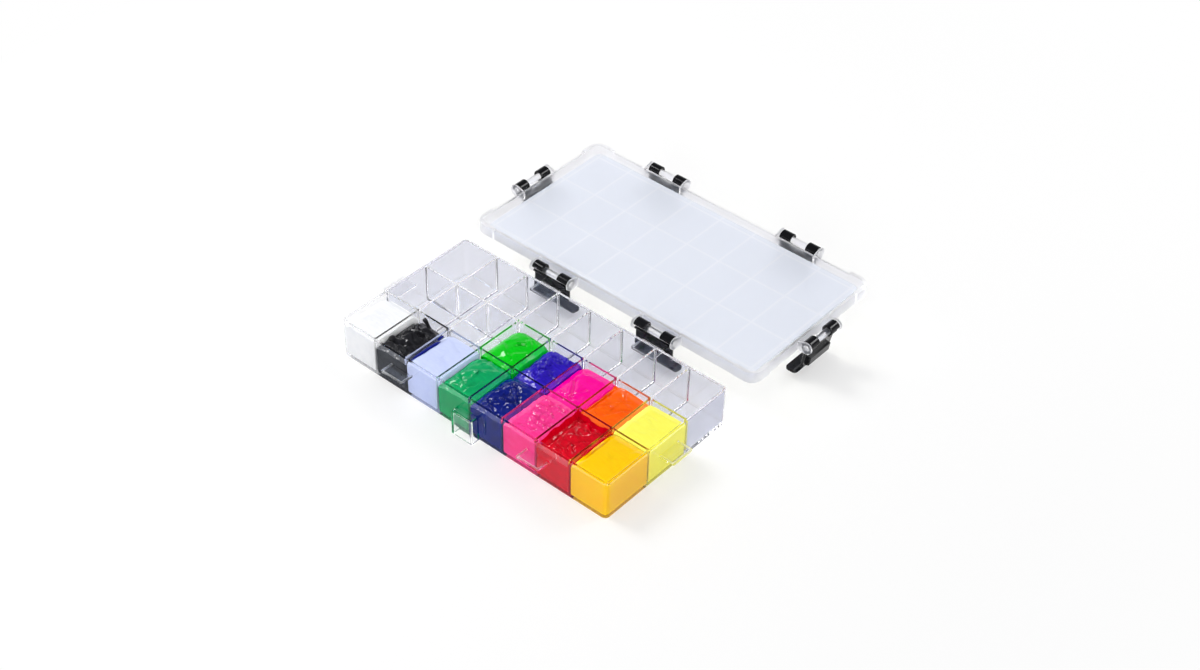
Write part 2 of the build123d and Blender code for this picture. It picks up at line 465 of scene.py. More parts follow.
def new_material(name, **values):
    """A material whose tree holds a Principled shader with the given sockets."""
    material = bpy.data.materials.new(name)
    tree = new_tree(material)
    return material, tree, add(tree, "ShaderNodeBsdfPrincipled", **values)


def tinted(tree, mask, first, second):
    """A colour that goes from the first, a colour or a socket, to the second by a mask."""
    mix = add(tree, "ShaderNodeMix", data_type="RGBA")
    sockets = [s for s in mix.inputs if s.type == "RGBA"]
    if isinstance(first, tuple):
        sockets[0].default_value = (*first, 1.0)
    else:
        tree.links.new(first, sockets[0])
    sockets[1].default_value = (*second, 1.0)
    tree.links.new(mask, mix.inputs["Factor"])
    return next(s for s in mix.outputs if s.type == "RGBA")


def dress(tree, shader, shown, rough, height, bump):
    """Feeds a shader's colour, roughness and normal. bump is the relief's strength and distance."""
    tree.links.new(shown, shader.inputs["Base Color"])
    tree.links.new(rough, shader.inputs["Roughness"])
    relief = add(tree, "ShaderNodeBump", strength=bump[0], distance=bump[1])
    tree.links.new(height, relief.inputs["Height"])
    tree.links.new(relief.outputs[0], shader.inputs["Normal"])


# %% [markdown]
# Clear styrene. It is real glass to the renderer, with the plastic's own bending power. Light that
# casts shadows passes straight through a see-through shader instead, because a soft shadow under
# clear plastic is pale. The Light Path node that chooses stays here in the material.
#
# The shell round the empty wells has a faint grey-lilac tint, a painted shade for the shade under
# the tray seen through them, and the raised borders of the ledges are frosted, so that both show
# against white. The painted shade group tells these places by their coordinates. The lid is the
# same plastic, only rougher, which makes it milky.

# %% Clear plastic
# Where the grey-lilac painted shade lies round the empty wells, and where the ledges' borders are.
SHADE_TINT_X, SHADE_TINT_Y = -0.030, 0.0196
SHELL_X, SHELL_Y, SHELL_Z = 0.1200, 0.0603, 0.0030
LEDGE_X, LEDGE_Y, LEDGE_PLATE = 0.1232, 0.0634, 0.0203
BESIDE_LUG_X = 0.0200
LEDGE_FROST = 0.6
SHADOW_WARMTH = (1.0, 0.997, 0.955)
WEAK_MIRROR = (0.15, 0.25, 0.45, 1.0)


def painted_shade_group():
    """The painted shade in the shell round the empty wells, and the ledges' borders: gives Film,
    Ledge.
    """
    group = new_group("film", {}, ("Film", "Ledge"))
    parts = apart(group)

    def past(axis, limit):
        return worked_out(group, "GREATER_THAN", parts[axis], limit)

    def short_of(axis, limit):
        return worked_out(group, "LESS_THAN", parts[axis], limit)

    def either(first, second):
        return worked_out(group, "MAXIMUM", first, second)

    def both(first, second):
        return worked_out(group, "MULTIPLY", first, second)

    def off_middle(axis, limit):
        return either(past(axis, limit), short_of(axis, -limit))

    empty = either(past("Y", SHADE_TINT_Y), both(short_of("X", SHADE_TINT_X), past("Y", -SHADE_TINT_Y)))
    low_or_back = either(short_of("Z", SHELL_Z), past("Y", SHELL_Y))
    shell = either(off_middle("X", SHELL_X), low_or_back)
    long_side = both(off_middle("Y", LEDGE_Y), off_middle("X", BESIDE_LUG_X))
    outside = either(off_middle("X", LEDGE_X), long_side)
    film = worked_out(group, "GREATER_THAN", both(empty, shell), outside)
    return closed(group, Film=film, Ledge=both(outside, past("Z", LEDGE_PLATE)))


film = painted_shade_group()


def pale_shadow(tree, shader, shade):
    """Ends a material whose shadow lets a share of the light through, a little warmer."""
    path = add(tree, "ShaderNodeLightPath")
    colour = (*(shade * warmth for warmth in SHADOW_WARMTH), 1.0)
    pale = add(tree, "ShaderNodeBsdfTransparent", color=colour)
    put_out(tree, mixed(tree, path.outputs["Is Shadow Ray"], shader, pale))


def clear_plastic(name, colour, hazy_colour, roughness, haze, shade, painted_shade_tint=None):
    """Clear moulded plastic. shade is how much light its shadow lets through; painted_shade_tint,
    if given, is painted shade over the shell round the empty wells.
    """
    material, tree, shader = new_material(
        name, ior=1.5, transmission_weight=1.0, specular_tint=WEAK_MIRROR,
    )
    surface = placed(tree, moulded_surface, Scale=55.0, Roughness=roughness, Haze=haze).outputs
    shown = tinted(tree, surface["Mask"], colour, hazy_colour)
    rough = surface["Roughness"]
    # Painted shade: a grey-lilac tint over the shell round the empty wells.
    if painted_shade_tint:
        zones = placed(tree, film).outputs
        shown = tinted(tree, zones["Film"], shown, painted_shade_tint)
        rough = worked_out(tree, "MULTIPLY_ADD", zones["Ledge"], LEDGE_FROST, rough)
    dress(tree, shader, shown, rough, surface["Height"], (0.03, 0.0006))
    pale_shadow(tree, shader, shade)
    return material


clear_styrene = clear_plastic(
    "clear_styrene", (0.95, 0.952, 0.968), (0.91, 0.92, 0.945), 0.012, 0.12, 0.94,
    # The last tint is painted shade for the empty wells.
    painted_shade_tint=(0.74, 0.75, 0.83),
)
lid_styrene = clear_plastic(
    "lid_styrene", (0.89, 0.89, 0.93), (0.85, 0.852, 0.91), 0.32, 0.25, 0.90,
)
print("clear plastic", clear_styrene.name, lid_styrene.name)

# %% [markdown]
# Black clips are glossy moulded plastic. A weak coat keeps the highlight crisp over a slightly
# rougher body, and the handling haze greys them a little where fingers press.

# %% Black plastic


def black_plastic():
    """Glossy black moulded plastic."""
    material, tree, shader = new_material(
        "black_moulded", ior=1.5, specular_ior_level=0.15, coat_weight=0.25, coat_roughness=0.05,
    )
    surface = placed(tree, moulded_surface, Scale=180.0, Roughness=0.16, Haze=0.25).outputs
    black, rubbed = (0.004, 0.004, 0.005), (0.016, 0.016, 0.019)
    shown = tinted(tree, surface["Mask"], black, rubbed)
    dress(tree, shader, shown, surface["Roughness"], surface["Height"], (0.08, 0.0004))
    put_out(tree, shader)
    return material


black_moulded = black_plastic()
print("black plastic", black_moulded.name)

# %% [markdown]
# The sealing pad is a soft milky sheet. Some of the light goes through it and is spread, which is
# why the clips that hang behind the lid show as pale blue shadows. The grid that the rim and
# dividers pressed into it is a shade paler, besides being cut in its mesh.

# %% Milky pad
PRESSED_Y, PRESSED_ROW, PRESSED_COLUMN = 0.1502, 0.0392, 0.030
PRESSED_EDGE, PRESSED_FULL = 0.0013, 0.0003


def pressed_grid_group():
    """Where the rim and dividers press on the pad: gives Mask."""
    group = new_group("pressed_grid", {}, ("Mask",))
    parts = apart(group)
    lines = []
    first_row = PRESSED_Y + PRESSED_ROW / 2
    for axis, middle, pitch in (("X", 0.0, PRESSED_COLUMN), ("Y", first_row, PRESSED_ROW)):
        shifted = worked_out(group, "SUBTRACT", parts[axis], middle)
        away = worked_out(group, "PINGPONG", shifted, pitch / 2)
        lines.append(ranged(group, away, PRESSED_EDGE, PRESSED_FULL))
    return closed(group, Mask=worked_out(group, "MAXIMUM", *lines))


pressed_grid = pressed_grid_group()


def milky_sheet():
    """Soft translucent sheet with a satin surface."""
    material, tree, shader = new_material("milky_sheet", ior=1.4, transmission_weight=0.5)
    surface = placed(tree, moulded_surface, Scale=25.0, Roughness=0.42, Haze=0.2).outputs
    plain, cloudy, pressed = (0.84, 0.865, 0.925), (0.82, 0.845, 0.91), (0.885, 0.90, 0.945)
    shown = tinted(tree, surface["Height"], plain, cloudy)
    grid = placed(tree, pressed_grid)
    shown = tinted(tree, grid.outputs["Mask"], shown, pressed)
    dress(tree, shader, shown, surface["Roughness"], surface["Height"], (0.1, 0.0008))
    pale_shadow(tree, shader, 0.85)
    return material


milky = milky_sheet()
print("pad", milky.name)

# %% [markdown]
# Sizes of the tray in millimetres, read from the frame where it holds them. Wells stand in eight
# columns and three rows. The end columns and outer rows reach to the outer walls.

# %% Tray sizes
tray_low, tray_high = (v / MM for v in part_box("tray_shell"))
divider_low, divider_high = (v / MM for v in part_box("long_dividers"))
WELL_FLOOR = divider_low.z
RIM = tray_high.z
WALL = divider_low.x - tray_low.x
DIVIDER = 1.6
ROW_PITCH = divider_high.y - divider_low.y - DIVIDER
COLUMN_PITCH = 30.0
COLUMNS, ROWS = 8, 3
TRAY_CORNER, TRAY_FOOT = 4.0, 1.0
WELL_CORNER, FOOT_ROUND, DRAFT, RIM_ROUND = 1.1, 1.3, 0.25, 0.35
ROOT, LUG_WALL = 0.6, 1.6
FRONT_CLIP_X, BACK_CLIP_X = 63.0, 48.0


def well_limits(column, row):
    """Middle and half sizes of a well between its walls."""
    first_x, last_x = ((column + i - COLUMNS / 2) * COLUMN_PITCH for i in (0, 1))
    first_y, last_y = ((row + i - ROWS / 2) * ROW_PITCH for i in (0, 1))
    low_x = tray_low.x + WALL if column == 0 else first_x + DIVIDER / 2
    high_x = tray_high.x - WALL if column == COLUMNS - 1 else last_x - DIVIDER / 2
    low_y = tray_low.y + WALL if row == 0 else first_y + DIVIDER / 2
    high_y = tray_high.y - WALL if row == ROWS - 1 else last_y - DIVIDER / 2
    middle = ((low_x + high_x) / 2, (low_y + high_y) / 2)
    return middle, (high_x - low_x) / 2, (high_y - low_y) / 2


def wall_inset(z):
    """How far a well's wall leans in at a height, with its rounded foot."""
    rise = z - WELL_FLOOR
    lean = DRAFT * (1 - rise / (RIM - WELL_FLOOR))
    if rise < FOOT_ROUND:
        lean += FOOT_ROUND - math.sqrt(max(0.0, FOOT_ROUND ** 2 - (FOOT_ROUND - rise) ** 2))
    return lean


quarter = [math.radians(a) for a in range(0, 91, 15)]
foot_heights = [WELL_FLOOR + FOOT_ROUND * (1 - math.cos(a)) for a in quarter]
print("tray", [round(v, 2) for v in (*tray_low, *tray_high)], "row pitch", round(ROW_PITCH, 2))

# %% [markdown]
# The tray is one moulding on the real box: an outer block with twenty-four rounded pockets, six
# ledges for the clips and a hood in front. It could be put together from walls and dividers, but
# any face left between two pieces shows as a false seam in clear plastic. So the pockets are cut
# from one solid block, which leaves a single closed mesh.

# %% Block and wells


def tray_block():
    """The outer block, softened at foot and rim."""
    foot = [(TRAY_FOOT * (1 - math.sin(a)), TRAY_FOOT * (1 - math.cos(a))) for a in quarter]
    r = RIM_ROUND
    rim = [(0.0, RIM - r), (r * 0.3, RIM - r * 0.3), (r, RIM)]
    return moulding("tray", tray_high.x, tray_high.y, TRAY_CORNER, foot + rim, steps=8)


def well_cutter(column, row):
    """The space of one well, flared over the rim so that the divider tops come out round."""
    middle, half_x, half_y = well_limits(column, row)
    r = RIM_ROUND
    profile = [(wall_inset(z), z) for z in foot_heights]
    profile += [(0.0, RIM - r), (-r * 0.3, RIM - r * 0.3), (-r, RIM), (-r, RIM + 1.0)]
    return moulding("well", half_x, half_y, WELL_CORNER, profile, middle)


# %% Ledges and hood


def ledge_block(depth, low, high):
    """A catch ledge with a raised border, drawn with its root inside the wall. Y is outward."""
    half, border, sunk, corner = 10.0, 1.2, 0.8, 1.2
    loops = []
    for inset, z in ((0.4, low), (0.0, low + 0.4), (0.0, high - 0.3), (0.3, high)):
        ring = rounded_rectangle(half - inset, (depth + ROOT) / 2 - inset, corner - inset, 4)
        loops.append([(x, y + (depth - ROOT) / 2, z) for x, y in ring])
    inner_half_y = (depth + ROOT - border) / 2 - 0.1
    for inset, z in ((0.0, high), (0.25, high - 0.25), (0.35, high - sunk)):
        ring = rounded_rectangle(half - border - inset, inner_half_y - inset, 0.8, 4)
        loops.append([(x, y + (depth - ROOT - border) / 2, z) for x, y in ring])
    return skin("ledge", loops)


def lug_block(width, depth, low, high, wall):
    """The hood in front: open below, rounded along its top front edge. Y is outward."""
    loops = []
    inner = [(wall, high - wall), (wall, low)]
    outer = [(0.3, low), (0.0, low + 0.3)]
    outer += [(0.0, high - 2.0), (0.25, high - 1.0), (0.8, high - 0.35), (1.8, high)]
    for inset, z in inner + outer:
        hollow = inset == wall
        y_low, y_high = 0.25 if hollow else -ROOT, depth - inset
        side = inset if hollow else min(inset, 0.9)
        ring = rounded_rectangle(width / 2 - side, (y_high - y_low) / 2, 0.8, 4)
        loops.append([(x, y + (y_high + y_low) / 2, z) for x, y in ring])
    return skin("lug", loops)


ledge_low, ledge_high = (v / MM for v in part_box("catch_ledges"))
lug_low, lug_high = (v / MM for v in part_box("front_lug"))
side_depth, long_depth = ledge_high.x - tray_high.x, ledge_high.y - tray_high.y
NO_TURN = Matrix.Identity(4)
TURN_HALF = Matrix.Rotation(math.pi, 4, "Z")
TURN_LEFT = Matrix.Rotation(math.pi / 2, 4, "Z")
TURN_RIGHT = Matrix.Rotation(-math.pi / 2, 4, "Z")


def shift(x, y, z=0.0):
    """A move in millimetres."""
    return Matrix.Translation(Vector((x, y, z)) * MM)


# %% Whole tray
LEDGES = (
    (long_depth, -FRONT_CLIP_X, tray_low.y, TURN_HALF),
    (long_depth, FRONT_CLIP_X, tray_low.y, TURN_HALF),
    (long_depth, -BACK_CLIP_X, tray_high.y, NO_TURN),
    (long_depth, BACK_CLIP_X, tray_high.y, NO_TURN),
    (side_depth, tray_low.x, 0, TURN_LEFT),
    (side_depth, tray_high.x, 0, TURN_RIGHT),
)
tray = tray_block()
extras = []
for depth, x, y, turn in LEDGES:
    extras.append(ledge_block(depth, ledge_low.z, ledge_high.z))
    move(extras[-1], shift(x, y) @ turn)
lug_size = (lug_high.x - lug_low.x, tray_low.y - lug_low.y)
extras.append(lug_block(*lug_size, lug_low.z, lug_high.z, LUG_WALL))
move(extras[-1], shift(0, tray_low.y) @ TURN_HALF)
cut_or_join(tray, joined("extras", extras), "UNION")
wells = [well_cutter(column, row) for column in range(COLUMNS) for row in range(ROWS)]
cut_or_join(tray, joined("wells", wells), "DIFFERENCE")
finish_piece(
    tray, "tray", "tray", "clear_plastic", clear_styrene,
    "tray_shell", "long_dividers", "cross_dividers", "catch_ledges", "front_lug",
)

# %% [markdown]
# The lid is a panel with a low skirt, raised corner blocks and six brackets, all one moulding. A
# bracket is two round-ended ears with a pin between them. The lid could be drawn as it lies open,
# but its sizes are plainest when it is shut, so it is drawn on the shut tray and then turned half
# a turn about the back pins. Ears, pins and hooks are outlines pushed along the pin.

# %% Lid sizes
joint_places = {joint["name"]: joint["pos_m"] for joint in frame["joints"]}
PIN_Y, PIN_Z = (v / MM for v in joint_places["lid_hinge"][1:])
SIDE_PIN_X = joint_places["right_clip_swing"][0] / MM
shell_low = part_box("lid_shell")[0] / MM
LID_EDGE, LID_TOP = 28.0, 2 * PIN_Z - shell_low.z
LID_HALF_X, LID_HALF_Y = 129.5, 68.1
LID_CORNER, LID_WALL, LID_PANEL, LID_ROUND = 7.0, 2.0, 2.2, 1.2
BLOCK_PROUD, BLOCK_DROP, BLOCK_LEG, BLOCK_SHORT, BLOCK_ROUND = 1.5, 1.0, 17.0, 1.4, 3.0
PIN_RADIUS, EAR_RADIUS, EAR_THICK, EAR_EDGE, PIN_ROOT = 2.5, 4.8, 1.6, 0.3, 0.8
PIN_OFFSET = PIN_Y - LID_HALF_Y
CLIP_WIDTH, EAR_GAP = 33.0, 0.4

hinge = shift(0, PIN_Y, PIN_Z)
OPENED = hinge @ Matrix.Rotation(math.pi, 4, "X") @ hinge.inverted()
stations = {
    "back_left": shift(-BACK_CLIP_X, PIN_Y, PIN_Z),
    "back_right": shift(BACK_CLIP_X, PIN_Y, PIN_Z),
    "front_left": shift(-FRONT_CLIP_X, -PIN_Y, PIN_Z) @ TURN_HALF,
    "front_right": shift(FRONT_CLIP_X, -PIN_Y, PIN_Z) @ TURN_HALF,
    "left": shift(-SIDE_PIN_X, 0, PIN_Z) @ TURN_LEFT,
    "right": shift(SIDE_PIN_X, 0, PIN_Z) @ TURN_RIGHT,
}

# %% Panel and corner blocks


def lid_block():
    """Panel and skirt as one solid block, softened outside."""
    r = LID_ROUND
    angles = [math.radians(a) for a in range(0, 91, 18)]
    profile = [(0.3, LID_EDGE), (0.0, LID_EDGE + 0.3)]
    profile += [(r - r * math.cos(a), LID_TOP - r + r * math.sin(a)) for a in angles]
    return moulding("lid", LID_HALF_X, LID_HALF_Y, LID_CORNER, profile, steps=10)


def corner_blocks():
    """The four raised corners: a proud ring with its long stretches cut away."""
    low, high = LID_EDGE - BLOCK_DROP, LID_TOP - BLOCK_SHORT
    half_x, half_y = LID_HALF_X + BLOCK_PROUD, LID_HALF_Y + BLOCK_PROUD
    profile = [(0.3, low), (0.0, low + 0.3), (0.0, high - 0.5), (0.5, high)]
    ring = moulding("blocks", half_x, half_y, LID_CORNER + BLOCK_ROUND, profile, steps=10)
    over, span = 2 * (BLOCK_PROUD + 1), [(0, low - 1), (0, high + 1)]
    for wide_x, wide_y in ((over, -BLOCK_LEG), (-BLOCK_LEG, over)):
        cut = moulding("cut", LID_HALF_X + wide_x, LID_HALF_Y + wide_y, 1.5, span)
        cut_or_join(ring, cut, "DIFFERENCE")
    return ring


# %% Outlines pushed along the pin


def with_neighbours(points):
    """Each corner of a closed outline between the one before and the one after."""
    ring = [Vector(point) for point in points]
    return zip(ring[-1:] + ring[:-1], ring, ring[1:] + ring[:1])


def inset_outline(points, amount):
    """Moves a counter-clockwise outline inwards along its corner normals."""
    moved = []
    for before, here, after in with_neighbours(points):
        first = (here - before).normalized()
        second = (after - here).normalized()
        normal = Vector((-first.y - second.y, first.x + second.x))
        if normal.length < 1e-6:
            normal = Vector((-first.y, first.x))
        normal.normalize()
        lean = max(0.4, normal.dot(Vector((-first.y, first.x))))
        moved.append(tuple(here + normal * amount / lean))
    return moved


def prism(name, outline, low, high, edge):
    """An outline in the Y-Z plane pushed along X, with softened ends."""
    loops = []
    for inset, x in ((edge, low), (0.0, low + edge), (0.0, high - edge), (edge, high)):
        loops.append([(x, y, z) for y, z in inset_outline(outline, inset)])
    return skin(name, loops)


def arc(centre, radius, first, last, steps):
    """Points along an arc, angles in degrees."""
    angles = [math.radians(first + (last - first) * s / steps) for s in range(steps + 1)]
    return [(centre[0] + radius * math.cos(a), centre[1] + radius * math.sin(a)) for a in angles]


# %% Brackets


def hull_with_circle(radius, root, steps=40):
    """Outline of a circle about the origin run together with a straight root on the left."""
    left, low, high = root
    corners = []
    for z in (high, low):
        distance = math.hypot(left, z)
        bearing = math.atan2(z, left)
        lean = math.acos(radius / distance)
        corners.append(bearing + (lean if z == low else -lean))
    start = math.degrees(corners[1])
    end = math.degrees(corners[0])
    if start > end:
        start -= 360
    return arc((0, 0), radius, start, end, steps) + [(left, high), (left, low)]


def bracket_block():
    """Two ears and the pin. X along the pin, Y outward, pin at the origin."""
    root = (-PIN_OFFSET - PIN_ROOT, LID_EDGE - PIN_Z + 0.4, LID_TOP - PIN_Z - 1.6)
    outline = hull_with_circle(EAR_RADIUS, root)
    inner = CLIP_WIDTH / 2 + EAR_GAP
    starts = (inner, -inner - EAR_THICK)
    ears = [prism("ear", outline, x, x + EAR_THICK, EAR_EDGE) for x in starts]
    bracket = joined("bracket", ears)
    reach = inner + PIN_ROOT
    pin = prism("pin", arc((0, 0), PIN_RADIUS, 0, 360 - 9, 39), -reach, reach, 0.1)
    cut_or_join(bracket, pin, "UNION")
    return bracket


# %% Whole lid
lid = lid_block()
cut_or_join(lid, corner_blocks(), "UNION")
for place in stations.values():
    bracket = bracket_block()
    move(bracket, place)
    cut_or_join(lid, bracket, "UNION")
hollow_top = LID_TOP - LID_PANEL
mouth = [(-0.3, LID_EDGE - 2), (-0.3, LID_EDGE - BLOCK_DROP), (0.0, LID_EDGE + 0.4)]
hollow = moulding(
    "hollow", LID_HALF_X - LID_WALL, LID_HALF_Y - LID_WALL, LID_CORNER - LID_WALL,
    mouth + [(0.1, hollow_top - 0.6), (0.6, hollow_top)], steps=10,
)
cut_or_join(lid, hollow, "DIFFERENCE")
move(lid, OPENED)
finish_piece(
    lid, "lid", "lid", "clear_plastic", lid_styrene,
    "lid_shell", *[name + "_bracket" for name in stations],
)

# %% [markdown]
# The sealing pad is a soft flat sheet inside the panel, with a faint grid that the rim and dividers
# have pressed into it. It could be cloth, but it never hangs or folds, so it is a moulding with
# shallow grooves cut in its face. It is solid throughout.

# %% Sealing pad
PAD_HALF_X, PAD_HALF_Y, PAD_CORNER = 124.0, 64.5, 5.0
PAD_FACE, PAD_BACK_GAP = RIM + 0.2, 0.05
GROOVE_DEEP, GROOVE_HALF, GROOVE_ROUND, GROOVE_SHORT = 0.25, 0.8, 0.5, 0.6

edge = [(0.8, PAD_FACE), (0.25, PAD_FACE + 0.25), (0.0, PAD_FACE + 0.8)]
edge.append((0.0, hollow_top - PAD_BACK_GAP))
pad = moulding("pad", PAD_HALF_X, PAD_HALF_Y, PAD_CORNER, edge, steps=8)
reach_x, reach_y = tray_high.x - GROOVE_SHORT, tray_high.y - GROOVE_SHORT
cut = [(0.0, PAD_FACE - 0.5), (0.0, PAD_FACE), (0.45, PAD_FACE + GROOVE_DEEP)]
cross = [((column - COLUMNS / 2) * COLUMN_PITCH, 0.0) for column in range(1, COLUMNS)]
long = [(0.0, side * ROW_PITCH / 2) for side in (-1, 1)]
for half_x, half_y, middles in ((GROOVE_HALF, reach_y, cross), (reach_x, GROOVE_HALF, long)):
    size = (half_x, half_y, GROOVE_ROUND)
    grooves = [moulding("groove", *size, cut, middle, 2) for middle in middles]
    cut_or_join(pad, joined("grooves", grooves), "DIFFERENCE")
move(pad, OPENED)
finish_piece(pad, "sealing_pad_moulding", "lid", "milky_pad", milky, "sealing_pad")

# %% [markdown]
# A clip is a black moulded strap that snaps on a pin and hooks under a ledge. It could be cut from
# a block, but the strap is thin and bent, so it is lofted along its middle line, which runs down
# and then bends sharply outward into a wide finger tab. Round notches part the plate from the tab.
# Two open barrels and the bar that catches under a ledge are joined to it. One clip is made and
# copied six times. Four of them hang from the open lid, each at its own angle.

# %% Clip sizes
BARREL_RADIUS, BARREL_LENGTH, BORE_RADIUS = 4.6, 9.5, 2.55
GAP_MIDDLE, GAP_ANGLE = 195.0, 80.0
PLATE = 2.2
HOOK_HALF, HOOK_TOP, HOOK_REACH, HOOK_DROP = 12.0, -12.1, 3.6, 7.4
TAB_HALF, TAB_START, TAB_BEND, TAB_ANGLE = 20.0, 21.5, 4.5, 80.0
TAB_LENGTH, TAB_CORNER = 6.0, 3.0
FAR_FROM_TIP = 99.0
NOTCH_DEPTH, NOTCH_RADIUS, NOTCH_OUT = 20.3, 3.0, 0.7

# %% Strap


def strap_line():
    """The strap's middle line, from under the pin to the tip: y, z, angle and length left."""
    run = NOTCH_DEPTH - NOTCH_RADIUS - BARREL_RADIUS
    down = [BARREL_RADIUS + run * s / 6 for s in range(7)]
    down += [NOTCH_DEPTH - NOTCH_RADIUS * math.cos(math.radians(a)) for a in range(15, 105, 15)]
    line = [(0.0, -d, 0.0, FAR_FROM_TIP) for d in down if d < TAB_START - 0.1]
    for degrees in range(0, int(TAB_ANGLE) + 1, 4):
        angle = math.radians(degrees)
        y = TAB_BEND - TAB_BEND * math.cos(angle)
        z = -TAB_START - TAB_BEND * math.sin(angle)
        line.append((y, z, angle, FAR_FROM_TIP))
    for run in (1.5, 3.0, 3.2, 3.7, 4.3, 4.8, 5.3, 5.7, 5.9, TAB_LENGTH):
        place = (y + run * math.sin(angle), z - run * math.cos(angle))
        line.append((*place, angle, TAB_LENGTH - run))
    return line


def strap_half(z, left):
    """Half the strap's width at a height, with so much length left to the tip."""
    rise = z + NOTCH_DEPTH
    if rise > NOTCH_RADIUS:
        return CLIP_WIDTH / 2
    if rise > -NOTCH_RADIUS:
        notch = CLIP_WIDTH / 2 + NOTCH_OUT - math.sqrt(NOTCH_RADIUS ** 2 - rise ** 2)
        return min(notch, CLIP_WIDTH / 2) if rise > 0 else notch
    shy = 0.5 * math.exp(-(-NOTCH_RADIUS - rise) / 0.3)
    if left < TAB_CORNER:
        shy += TAB_CORNER - math.sqrt(TAB_CORNER ** 2 - (TAB_CORNER - left) ** 2)
    return TAB_HALF - shy


def strap():
    """The plate and finger tab as one rounded loft."""
    loops = []
    for y, z, angle, left in strap_line():
        thick = PLATE / 2 if left > 0.2 else PLATE / 2 - (0.12 if left > 0.05 else 0.4)
        ring = rounded_rectangle(strap_half(z, left), thick, min(0.7, thick - 0.05), 4)
        loops.append([(x, y + t * math.cos(angle), z + t * math.sin(angle)) for x, t in ring])
    return skin("strap", loops[::-1])


# %% Barrels and hook


def mouth_lip(bearing, start):
    """The round end of a barrel's wall beside its mouth, angles in degrees."""
    centre_line = (BARREL_RADIUS + BORE_RADIUS) / 2
    radius = 0.98 * (BARREL_RADIUS - BORE_RADIUS) / 2
    turned = math.radians(bearing)
    tip = (centre_line * math.cos(turned), centre_line * math.sin(turned))
    return arc(tip, radius, start, start + 180, 6)[1:-1]


def rounded_corners(points, radii, steps=5):
    """A closed outline whose corners are replaced by arcs of the given radii."""
    made = []
    for radius, (before, here, after) in zip(radii, with_neighbours(points)):
        if radius <= 0:
            made.append(tuple(here))
            continue
        to_before = (before - here).normalized()
        to_after = (after - here).normalized()
        half = to_before.angle(to_after) / 2
        middle = here + (to_before + to_after).normalized() * radius / math.sin(half)
        start = here + to_before * radius / math.tan(half) - middle
        end = here + to_after * radius / math.tan(half) - middle
        sweep = start.angle_signed(end)
        for step in range(steps + 1):
            turned = start.copy()
            turned.rotate(Matrix.Rotation(-sweep * step / steps, 2))
            made.append(tuple(middle + turned))
    return made


def clip_block():
    """One clip as it sits when hooked. X along the pin, Y outward, pin at the origin."""
    clip = strap()
    foot = HOOK_TOP - HOOK_DROP
    hook_points = [(-0.3, HOOK_TOP), (-HOOK_REACH, HOOK_TOP), (-HOOK_REACH - 0.3, foot)]
    hook_points += [(-0.9, foot - 2), (-0.3, foot - 2)]
    hook_outline = rounded_corners(hook_points, [0, 0.5, 1.6, 0, 0])
    cut_or_join(clip, prism("hook", hook_outline, -HOOK_HALF, HOOK_HALF, 0.4), "UNION")
    low, high = GAP_MIDDLE + GAP_ANGLE / 2 - 360, GAP_MIDDLE - GAP_ANGLE / 2
    ring = arc((0, 0), BARREL_RADIUS, low, high, 36) + mouth_lip(high, high)
    ring += arc((0, 0), BORE_RADIUS, high, low, 36) + mouth_lip(low, low + 180)
    for start in (-CLIP_WIDTH / 2, CLIP_WIDTH / 2 - BARREL_LENGTH):
        cut_or_join(clip, prism("barrel", ring, start, start + BARREL_LENGTH, 0.45), "UNION")
    return clip


# %% Six clips
HANG = {"front_left": 16.0, "front_right": 16.0, "left": 32.0, "right": 11.0}
one_clip = clip_block()
for name, place in stations.items():
    clip = name + "_clip"
    thing = bpy.data.objects.new(clip, one_clip.data.copy())
    scene.collection.objects.link(thing)
    if name in HANG:
        place = OPENED @ place @ Matrix.Rotation(math.radians(180 + HANG[name]), 4, "X")
    move(thing, place)
    finish_piece(thing, clip + "_moulding", clip, "black_plastic", black_moulded, clip)
bpy.data.objects.remove(one_clip)

# %% [markdown]
# Paint. Each well holds a mass of thick paint that was pushed in with a knife. It could be sculpted
# by hand, but a formula can be read and changed. Its top is a height field over shrinking copies of
# the well's outline: a level, a dome, a tilt, edges that drop where the wall is bare or climb it
# raggedly where the knife wiped, and knife strokes. Some strokes are drawn and the short ones are
# seeded, so they fall alike in each run. Sides and foot follow the well and reach a hair into the
# plastic, so that no gap of air shows. Only the top is glossy, because what lies against the wall
# has no highlight of its own.

# %% Paint look
KNIFE_TURN, KNIFE_STRETCH = (0.0, 0.0, math.radians(20.0)), (1.0, 3.5, 1.0)
GLOSS_SLOPE, GLOSS_FULL = (0.2, 0.7), 0.8
THIN_TO_THICK, ROUGHER = (0.40, 0.68), (-0.06, 0.10)
FINE_SHARE = 0.25


def paint_group():
    """Streaks of thicker and thinner colour: gives Mask, Roughness, Gloss and Height."""
    inputs = dict(Angle=(0.0, 0.0, 0.0), Roughness=0.3)
    group = new_group("wet_paint", inputs, ("Mask", "Roughness", "Gloss", "Height"))
    start = add(group, "NodeGroupInput").outputs
    place = add(group, "ShaderNodeTexCoord").outputs["Object"]
    gloss = ranged(group, apart(group, "Normal")["Z"], *GLOSS_SLOPE, 0.0, GLOSS_FULL)
    turn = add(group, "ShaderNodeMapping", scale=KNIFE_STRETCH)
    group.links.new(place, turn.inputs["Vector"])
    group.links.new(start["Angle"], turn.inputs["Rotation"])
    streak = textured(group, turn.outputs[0], scale=120.0, detail=5.0, distortion=1.2).outputs[0]
    fine = textured(group, turn.outputs[0], scale=700.0, detail=3.0).outputs[0]
    mask = ranged(group, streak, *THIN_TO_THICK)
    spread = ranged(group, fine, 0.0, 1.0, *ROUGHER)
    rough = worked_out(group, "ADD", start["Roughness"], spread)
    height = worked_out(group, "MULTIPLY_ADD", fine, FINE_SHARE, streak)
    return closed(group, Mask=mask, Roughness=rough, Gloss=gloss, Height=height)


wet_paint = paint_group()


